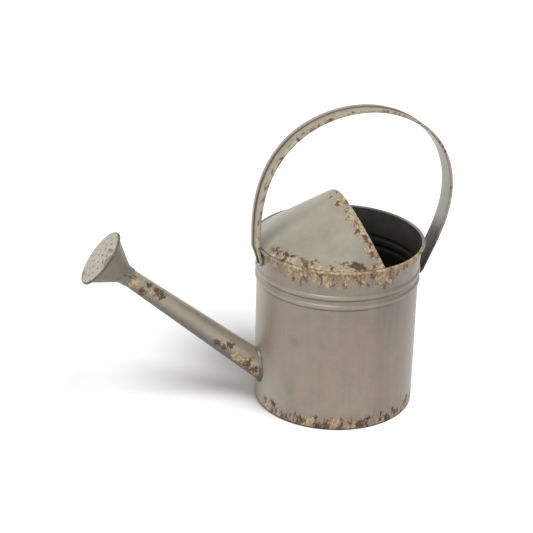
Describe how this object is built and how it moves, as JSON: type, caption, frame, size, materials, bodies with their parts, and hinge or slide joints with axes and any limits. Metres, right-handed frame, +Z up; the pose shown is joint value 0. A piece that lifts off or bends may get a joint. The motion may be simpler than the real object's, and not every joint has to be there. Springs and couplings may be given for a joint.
{
  "type": "watering can",
  "caption": "Small rusty sheet metal watering can with a round body, a half cover, an arched strap handle and a long spout with a round rose.",
  "frame": {"origin": "centre of the can's round foot, on the surface it stands on", "axes": "+Z up along the can's axis, -X towards the spout, the strap handle in the XZ plane"},
  "size_m": [0.3451, 0.1594, 0.2847],
  "materials": {
    "aged_body_paint": "satin, aged, rusty along the mouth and the foot",
    "aged_base_paint": "satin, aged, rusty",
    "aged_cover_paint": "satin, aged, rusty along the edges",
    "aged_spout_paint": "satin, aged, rusty at both ends",
    "aged_cone_paint": "satin, aged",
    "aged_rose_paint": "matt, aged",
    "aged_strap_paint": "satin, aged, rusty along the edges"
  },
  "bodies": {
    "root": {"can_wall": "aged_body_paint", "base_disc": "aged_base_paint", "half_cover": "aged_cover_paint", "spout": "aged_spout_paint", "rose_cone": "aged_cone_paint", "rose_plate": "aged_rose_paint", "handle": "aged_strap_paint"}
  },
  "joints": []
}
